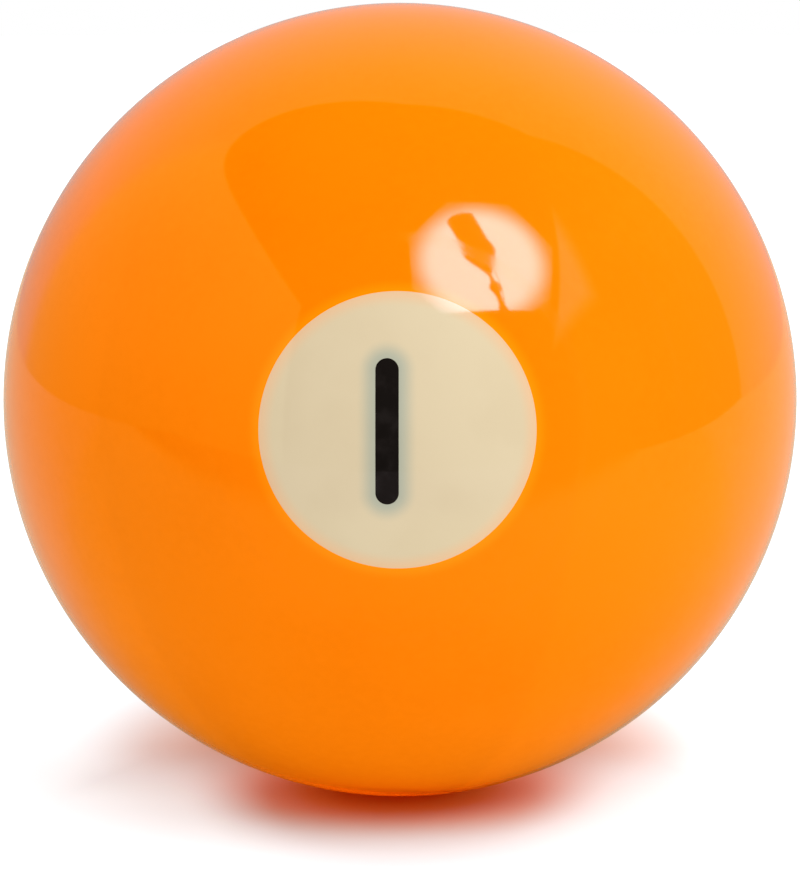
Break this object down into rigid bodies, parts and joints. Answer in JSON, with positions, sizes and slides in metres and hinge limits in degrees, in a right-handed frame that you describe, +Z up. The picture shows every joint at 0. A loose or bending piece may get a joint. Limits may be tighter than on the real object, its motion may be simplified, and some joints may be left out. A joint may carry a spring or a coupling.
{
  "type": "pool ball",
  "caption": "Solid coloured pool ball with a pale round disc set flush in each end of one diameter, each carrying a plain upright stroke numeral.",
  "frame": {"origin": "centre of the ball", "axes": "Y is the number axis, through the middle of both discs, and the front disc faces -Y; +Z is up, along the stroke of both numerals"},
  "size_m": [0.0572, 0.0572, 0.0572],
  "materials": {
    "body_resin": "polished",
    "disc_resin": "polished",
    "numeral_resin": "polished"
  },
  "bodies": {
    "root": {"ball_body": "body_resin", "front_disc": "disc_resin", "front_numeral": "numeral_resin", "rear_disc": "disc_resin", "rear_numeral": "numeral_resin"}
  },
  "joints": []
}
